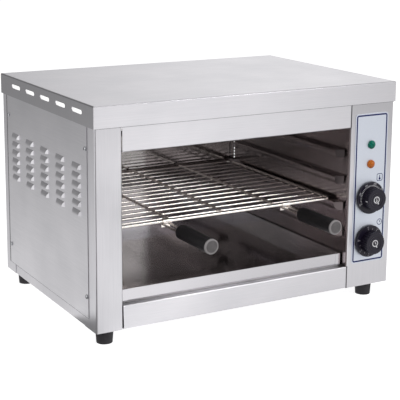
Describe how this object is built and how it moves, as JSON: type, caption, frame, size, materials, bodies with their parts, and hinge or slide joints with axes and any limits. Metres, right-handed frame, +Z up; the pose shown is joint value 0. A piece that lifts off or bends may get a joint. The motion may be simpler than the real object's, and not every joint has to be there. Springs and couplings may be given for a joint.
{
  "type": "cheese melter",
  "caption": "Counter-top cheese melter: open-fronted grill cavity with pressed rails, overhead elements, sliding handled wire rack, crumb tray and a side control panel with turning knobs.",
  "frame": {"origin": "on the counter, under the centre of the whole object's bounding box (rack in, grips included)", "axes": "+Z up, -Y towards the person in front of the cavity, +X to that person's right, where the control panel is"},
  "size_m": [0.59, 0.5346, 0.39],
  "materials": {
    "housing_steel": "brushed, satin",
    "cavity_steel": "bright sheet, heat-toned",
    "tray_steel": "polished sheet",
    "element_sheath": "oxidised sheath",
    "fibre_board": "compressed fibre",
    "thermostat_case": "moulded",
    "timer_case": "pressed case",
    "copper": "drawn",
    "plated_steel": "plated",
    "knob_plastic": "moulded, semi-gloss",
    "overlay_plate": "satin, printed border",
    "green_lens": "translucent",
    "amber_lens": "translucent",
    "white_plastic": "moulded",
    "rack_chrome": "bright plated wire",
    "grip_plastic": "moulded, satin",
    "cap_plastic": "moulded",
    "foot_rubber": "moulded",
    "gland_plastic": "moulded"
  },
  "bodies": {
    "housing": {"top_cover": "housing_steel", "left_post": "housing_steel", "upper_fascia": "housing_steel", "lower_front_panel": "housing_steel", "control_panel": "housing_steel", "base_plate": "housing_steel", "rear_panel": "housing_steel", "left_side_panel": "housing_steel", "right_side_panel": "housing_steel", "cavity_left_wall": "cavity_steel", "cavity_right_wall": "cavity_steel", "cavity_back": "cavity_steel", "cavity_floor": "cavity_steel", "cavity_ceiling": "cavity_steel", "heating_element_front": "element_sheath", "heating_element_rear": "element_sheath", "element_supports": "cavity_steel", "insulation_board": "fibre_board", "heat_shield": "cavity_steel", "thermostat_body": "thermostat_case", "thermostat_bulb": "copper", "bulb_clips": "plated_steel", "timer_body": "timer_case", "control_overlay": "overlay_plate", "power_lamp_lens": "green_lens", "power_lamp_body": "white_plastic", "heat_lamp_lens": "amber_lens", "heat_lamp_body": "white_plastic", "foot_front_left": "foot_rubber", "foot_front_right": "foot_rubber", "foot_rear_left": "foot_rubber", "foot_rear_right": "foot_rubber", "foot_screws": "plated_steel", "foot_nuts": "plated_steel", "left_panel_screws": "plated_steel", "right_panel_screws": "plated_steel", "rear_screws": "plated_steel", "terminal_block": "white_plastic", "cord_gland": "gland_plastic", "gland_nut": "gland_plastic"},
    "thermostat_dial": {"thermostat_knob": "knob_plastic", "thermostat_shaft": "plated_steel"},
    "timer_dial": {"timer_knob": "knob_plastic", "timer_shaft": "plated_steel"},
    "rack": {"wire_rack": "rack_chrome", "left_handle_shank": "rack_chrome", "right_handle_shank": "rack_chrome", "left_grip": "grip_plastic", "right_grip": "grip_plastic", "left_grip_cap": "cap_plastic", "right_grip_cap": "cap_plastic"},
    "tray": {"crumb_tray": "tray_steel"}
  },
  "joints": [
    {"name": "thermostat_turn", "type": "hinge", "parent": "housing", "child": "thermostat_dial", "pos_m": [0.2434, -0.15675, 0.184], "axis": [0, 1, 0], "range_deg": [0, 280]},
    {"name": "timer_turn", "type": "hinge", "parent": "housing", "child": "timer_dial", "pos_m": [0.2434, -0.15675, 0.1045], "axis": [0, 1, 0], "range_deg": [0, 300]},
    {"name": "rack_slide", "type": "slide", "parent": "housing", "child": "rack", "axis": [0, -1, 0], "range_m": [0, 0.3]},
    {"name": "tray_slide", "type": "slide", "parent": "housing", "child": "tray", "axis": [0, -1, 0], "range_m": [0, 0.3]}
  ]
}
